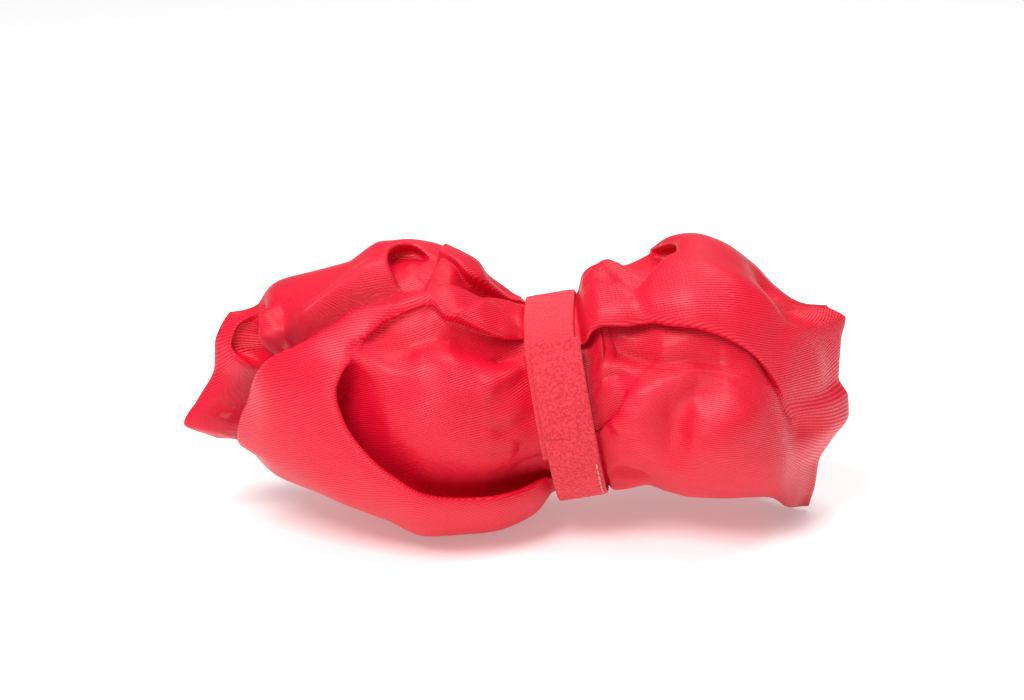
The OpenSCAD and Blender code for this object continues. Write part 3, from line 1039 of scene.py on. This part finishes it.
def right_lobe() -> ClothLobe:
    """The shorter, fatter lobe, whose upper part hangs over its front as a hood.

    Returns:
        The lobe with its patches and finish.
    """
    stations = [
        Station(20.5, -5, 54, 35.2, 38.7), Station(31.5, -5, 55.5, 35.9, 40.6), Station(35, -4.5, 59.0, 37.6, 44.0),
        Station(40, -3.5, 61.5, 41, 45.5), Station(48, -2.5, 62.5, 45.5, 45), Station(58, -2, 63.5, 51, 49),
        Station(70, -2, 64, 54, 51.5), Station(82, -2, 62.5, 53, 50), Station(94, -2, 59, 49, 47),
        Station(106, -2, 53.5, 40, 44), Station(116, -2, 49, 26, 44.5), Station(126, -2, 46.5, 12, 44.5),
        Station(134, -2, 46, 1.0, 44.5),
    ]
    folds = [
        # the hood's lower edge
        Fold(
            path=((20, 50), (29, 46), (38, 44), (51, 44), (66, 41), (83, 38), (94, 35), (104, 28), (112, 12),
                  (116, -6), (110, -30)),
            strength=(0.9, 1.0, 1.0, 1.0, 0.95, 0.8, 0.6, 0.4, 0.2, 0.05, 0.0), under=Under.RIGHT,
            width=5.0, lap=3.5, lip=7.5, pocket=4.5, lift=1.5, recover=5.0, sharp=1.9, weave_turn=0.12,
        ),
        # the fold of the notch on top
        Fold(
            path=((56, 128), (61, 108), (65, 94), (63, 79), (54, 71), (42, 70)),
            strength=(0.0, 0.9, 1.0, 1.0, 0.9, 0.0), under=Under.RIGHT,
            width=4.2, lap=3.8, lip=6.0, pocket=9.0, lift=2.2, recover=3.8,
        ),
        # a crease that curls down beside the strap
        Fold(
            path=((46, 12), (41, 1), (36, -5), (26, -6)), strength=(0.0, 0.9, 1.0, 0.8), under=Under.RIGHT,
            width=2.8, lap=1.9, lip=2.0, pocket=1.4, lift=1.0, recover=4.5,
        ),
        # the cloth's last turn laps over itself along the back
        Fold(
            path=((20, 152), (36, 156), (66, 166), (96, 172), (120, 190)), strength=(0.9, 1.0, 1.0, 0.9, 0.0),
            under=Under.RIGHT, width=3.0, lap=3.4, lip=3.8, pocket=2.4, lift=1.8, recover=6.0,
        ),
        Fold(
            path=((20, 216), (40, 220), (66, 214), (84, 204)), strength=(0.9, 1.0, 0.9, 0.0), under=Under.LEFT,
            width=2.8, lap=2.8, lip=3.0, pocket=2.2, lift=1.4, recover=5.0,
        ),
    ]
    swells = [
        Swell(((20, 36), (34, 34), (46, 29), (56, 24), (68, 26), (84, 26), (96, 24)), -4.6, 5.0),
        Swell(((92, 36), (103, 28), (112, 14), (115, -4), (108, -24)), -4.5, 7.0),  # the hollow inside the hood's end
        Swell(((40, 74), (59, 70), (76, 65), (94, 61), (108, 55), (120, 38), (125, 19), (119, 3)), 3.0, 7.5),
        # the hood's turned-in side
        Swell(((32, 54), (50, 54), (66, 50), (80, 47), (95, 43), (107, 33), (112, 16)), -3.4, 6.0),
        Swell(((88, 14), (72, 9), (63, 0), (60, -15), (60, -38)), -6.0, 8.5),
        Swell(((48, 18), (50, 4), (51, -14), (54, -34)), 2.4, 5.0),
        Swell(((100, 6), (88, 0), (77, -13), (72, -34)), 2.4, 9.0),
        Swell(((49, 6), (44, -7), (36, -10)), 2.4, 3.4),
        Swell(((30, -34), (41, -43), (50, -52)), -3.0, 3.2),
        Swell(((98, 96), (103, 78), (122, 70)), -4.0, 6.0),
        Swell(((38, 96), (47, 92), (54, 92)), 3.5, 8.0),
        Swell(((20, 20), (34, 18), (50, 16)), -1.8, 3.0),
        Swell(((46, 116), (52, 102), (56, 90), (56, 80)), -6.0, 6.0),  # the notch in the top
    ] + drag_lines(31, 14, (36, 112), (112, 262))
    lobe = Lobe(
        stations, STRAP_X, 134.0, (0, 5, 12, 23, 33, 44, 52, 60, 76, 85, 90),
        (119, 120, 121.5, 122.5, 127.5, 134, 133.5, 129.5, 130, 131.5, 124), 96.0,
        LEAN, STRAP_Z, folds, swells, seed=9, tail_bend=6.0,
    )
    patches = (
        ("right_lower_cloth", -110.0, -15.0, ("right_lower_lay",)),
        ("right_front_cloth", -15.0, 47.0, ("right_inner_lay", "right_end_rim")),
        ("right_hood_cloth", 47.0, 135.0, ("right_hood", "right_top_pleat")),
        ("right_back_cloth", 135.0, 250.0, ("right_back_lay", "right_inner_roll")),
    )
    return ClothLobe(lobe, patches, TwillFinish("right_twill", slant=0.12))


@dataclass(frozen=True)
class TapeRun:
    """A stretch of the strap's tape, carried along the strap's oval.

    It runs from angle `first` to angle `last` in degrees, from the front up over the top. Its inner face stands `inner`
    off the waist or, where `climbs` is set, climbs from the waist to the outside of the overlap. `pile` is the height
    of the lumps on its outer face and `curl` is how far its last few millimetres turn outward.
    """

    name: str
    first: float
    last: float
    inner: float
    thickness: float
    width: float
    climbs: bool = False
    pile: float = 0.0
    curl: float = 0.0
    seed: int = 3
    step: float = 0.45

    def length(self) -> float:
        """How long the stretch is along the tape."""
        return float(np.radians(self.last - self.first)) * TAPE_RADIUS

    def lift(self, a: Array) -> Array:
        """How far the tape's inner face stands off the waist: half a cosine wave over the climb.

        Args:
            a: angles in degrees.

        Returns:
            Heights in millimetres.
        """
        if not self.climbs:
            return self.inner + self.curl * np.clip((a - self.last + 7.0) / 7.0, 0, 1) ** 2
        wrapped = np.where(a > 180, a - 360, a)
        t = np.clip((wrapped - CLIMB_START) / (ROOT - CLIMB_START), 0, 1)
        return OVERLAP * (1 - np.cos(np.pi * np.where(a > 180, t, 0.0))) / 2

    def place(self, a: Array, across: Array, out: Array) -> Array:
        """World places of points on the strap's oval.

        Args:
            a: angles in degrees.
            across: places across the tape.
            out: heights over the waist.

        Returns:
            Points, with a last axis of 3.
        """
        rad = np.radians(a)
        local = np.stack([across, -(WAIST_RY + out) * np.cos(rad), (WAIST_RZ + out) * np.sin(rad)], axis=-1)
        return strap_to_world(local)

    def lumps(self, a: Array, across: Array) -> Array:
        """Uneven tufts: a sum of waves of many directions, about 1 to 2 mm long, the same every run.

        Args:
            a: angles in degrees.
            across: places across the tape.

        Returns:
            Heights, about -1 to 1.
        """
        rng = np.random.default_rng(self.seed)
        along = np.radians(a) * TAPE_RADIUS
        total = np.zeros_like(along)
        for _ in range(26):
            way, size = rng.uniform(0, np.pi), rng.uniform(2.6, 6.5)
            total += np.sin((along * np.cos(way) + across * np.sin(way)) * size + rng.uniform(0, 2 * np.pi))
        return total / 6.0

    def faces(self, rows: int, cols: int, half: int) -> list[list[int]]:
        """Corner indices of the tape's skin and of its two ends.

        Args:
            rows: number of sections along the tape.
            cols: points round a section.
            half: how many of them lie on the outer face.

        Returns:
            One list of corner indices per face.
        """
        i, j = np.meshgrid(np.arange(rows - 1), np.arange(cols), indexing="ij")
        p, q = i * cols + j, i * cols + (j + 1) % cols
        found = np.stack([p, p + cols, q + cols, q], axis=-1).reshape(-1, 4).tolist()
        for row, order in ((0, 1), (rows - 1, -1)):
            top = row * cols + np.arange(half)
            low = row * cols + np.concatenate([[0], np.arange(cols - 1, half - 1, -1), [half - 1]])
            cap = np.stack([top[:-1], top[1:], low[1:], low[:-1]], axis=1)[:, ::order]
            found += [list(dict.fromkeys(face)) for face in cap.tolist()]
        return found

    def build(self) -> bpy.types.Object:
        """Sweeps a flat tape with rounded edges and a lumpy outer face along its run.

        The section is a flattened superellipse: |across / half width|^8 + |up / half thickness|^3 = 1.

        Returns:
            The new object.
        """
        flat = np.linspace(-1, 1, int(self.width / self.step))
        up = (1 - np.abs(flat) ** 8) ** (1 / 3)
        across = np.concatenate([flat, flat[::-1][1:-1]]) * self.width / 2
        rise = np.concatenate([up, -up[1:-1]])
        rings = max(int(self.length() / self.step), 8)
        aa, cc = np.meshgrid(np.linspace(self.first, self.last, rings), across, indexing="ij")
        rr = np.broadcast_to(rise, aa.shape)
        lumps = self.lumps(aa, cc) * np.clip(rr * 3, 0, 1) * self.pile
        out = self.lift(aa) + self.thickness * (0.5 + 0.5 * rr) + lumps
        slide = np.where(aa < 180, -2.2 * smooth_step((95.0 - aa) / 50.0), 0.0) if self.climbs else 0.0
        uv = np.stack([np.radians(aa) * TAPE_RADIUS, cc], axis=-1) * MM
        return make_mesh(self.name, self.place(aa, cc + slide, out), self.faces(*aa.shape, len(flat)), uv)


@dataclass
class Strap:
    """The hook-and-loop strap: a loop tape sewn to the cloth, its overlap and the hook tape behind the overlap.

    `tape` and `hook` are the tapes' thicknesses, `gap` is the room between hooks and pile, and `tip` is the angle of
    the overlap's cut end.
    """

    width: float = 20.0
    tape: float = 1.8
    hook: float = 1.2
    gap: float = 0.35
    tip: float = 47.0

    def build(self) -> None:
        """Makes and dresses every strap piece; the band and the hook patch's root hang on their bodies."""
        pile = PileFinish("loop_pile").material()
        # the band's pile is flatter and finer, with a lighter painted shade at its roots
        flatter_pile = PileFinish("loop_pile_flatter", root=(0.68, 0.015, 0.037), lump=1500.0, depth=0.5).material()
        hooks = HookFinish("hook_rows").material()
        out, inner, narrow = OVERLAP + self.tape, self.tape + self.gap, self.width - 2

        band = TapeRun("strap_band_tape", -18.0, 306.0, 0.0, self.tape, self.width, climbs=True, pile=0.16)
        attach(self.dress(band, flatter_pile, "strap_band"), BUNDLE)
        root = TapeRun("strap_tab_tape", 306.0, 356.0, 0.0, self.tape, self.width, climbs=True, pile=0.16)
        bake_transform(self.dress(root, pile, "strap_tab"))
        tip = TapeRun("strap_tip_tape", -4.0, self.tip, OVERLAP, self.tape, self.width, pile=0.16, curl=1.3)
        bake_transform(self.dress(tip, pile, "strap_tab_tip"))

        low = TapeRun("hook_tape_root", -17.0, 5.0, inner, self.hook, narrow)
        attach(self.dress(low, hooks, "hook_patch"), "tab")
        high = TapeRun("hook_tape_tip", 5.0, self.tip - 2, inner, self.hook, narrow)
        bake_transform(self.dress(high, hooks, "hook_patch_tip"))

    def dress(self, run: TapeRun, material: bpy.types.Material, node: str) -> bpy.types.Object:
        """Args:
            run: the stretch.
            material: its finish.
            node: the frame's node that the stretch stands for.

        Returns:
            The new object.
        """
        obj = run.build()
        obj.data.materials.append(material)
        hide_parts(node)
        LOG.info("%s: %d faces", obj.name, len(obj.data.polygons))
        return obj


@dataclass
class Studio:
    """Pale floor, soft light and the camera."""

    elevation: float = 20.0
    distance: float = 1.5
    floor_grey: float = 0.95

    def build(self) -> None:
        """Makes the floor, the lights, the world and the camera."""
        scene = bpy.context.scene
        corners = 3000.0 * np.array([[-1, -1, 0], [1, -1, 0], [1, 1, 0], [-1, 1, 0]])
        floor = make_mesh("floor", corners, [[0, 1, 2, 3]])
        material, _, shader = new_material("pale_floor")
        set_inputs(shader, {
            "Base Color": (self.floor_grey,) * 3 + (1,), "Roughness": 0.9,
            "Emission Color": (1, 1, 1, 1), "Emission Strength": 0.24,
        })
        floor.data.materials.append(material)
        world = bpy.data.worlds.new("studio")
        world.use_nodes = True
        set_inputs(world.node_tree.nodes["Background"], {"Color": (1, 1, 1, 1), "Strength": 0.30})
        scene.world = world
        for name, place, size, power in (
            ("key_light", (-0.45, -0.65, 1.1), 0.6, 13.6),
            ("top_light", (0.3, 0.15, 1.2), 0.7, 8.5),
        ):
            light = bpy.data.lights.new(name, "AREA")
            light.size = size
            light.energy = power
            obj = bpy.data.objects.new(name, light)
            obj.location = place
            obj.rotation_euler = (Vector((0, 0, 0.05)) - Vector(place)).to_track_quat("-Z", "Y").to_euler()
            scene.collection.objects.link(obj)
        scene.view_settings.view_transform = "Standard"
        self.camera()

    def camera(self) -> None:
        """A long lens from the front, a little above, that frames the bundle with air all round."""
        lens = bpy.data.cameras.new("camera")
        lens.sensor_width = 36.0
        view_width = 1024 * 0.4 * MM  # the stretch that the frame's width covers at the bundle
        lens.lens = 36.0 * self.distance / view_width
        obj = bpy.data.objects.new("camera", lens)
        tilt = np.radians(self.elevation)
        aim = Vector((-0.0016, -0.002, 0.0715))
        obj.location = aim + Vector((0, -np.cos(tilt), np.sin(tilt))) * self.distance
        obj.rotation_euler = (aim - obj.location).to_track_quat("-Z", "Y").to_euler()
        bpy.context.scene.collection.objects.link(obj)
        bpy.context.scene.camera = obj


def main() -> None:
    """Builds the studio, the cloth and the strap, logs each strap piece's face count and dresses the stitches."""
    logging.basicConfig(level=logging.INFO, format="%(message)s")
    Studio().build()
    weave = twill_group()
    left_lobe().build(weave)
    right_lobe().build(weave)
    Strap().build()
    thread = ThreadFinish("pale_thread").material()
    for node in ("edge_stitches", "anchor_stitches"):
        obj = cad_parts[node]
        obj.data.materials.clear()
        obj.data.materials.append(thread)


if __name__ == "__main__":
    main()
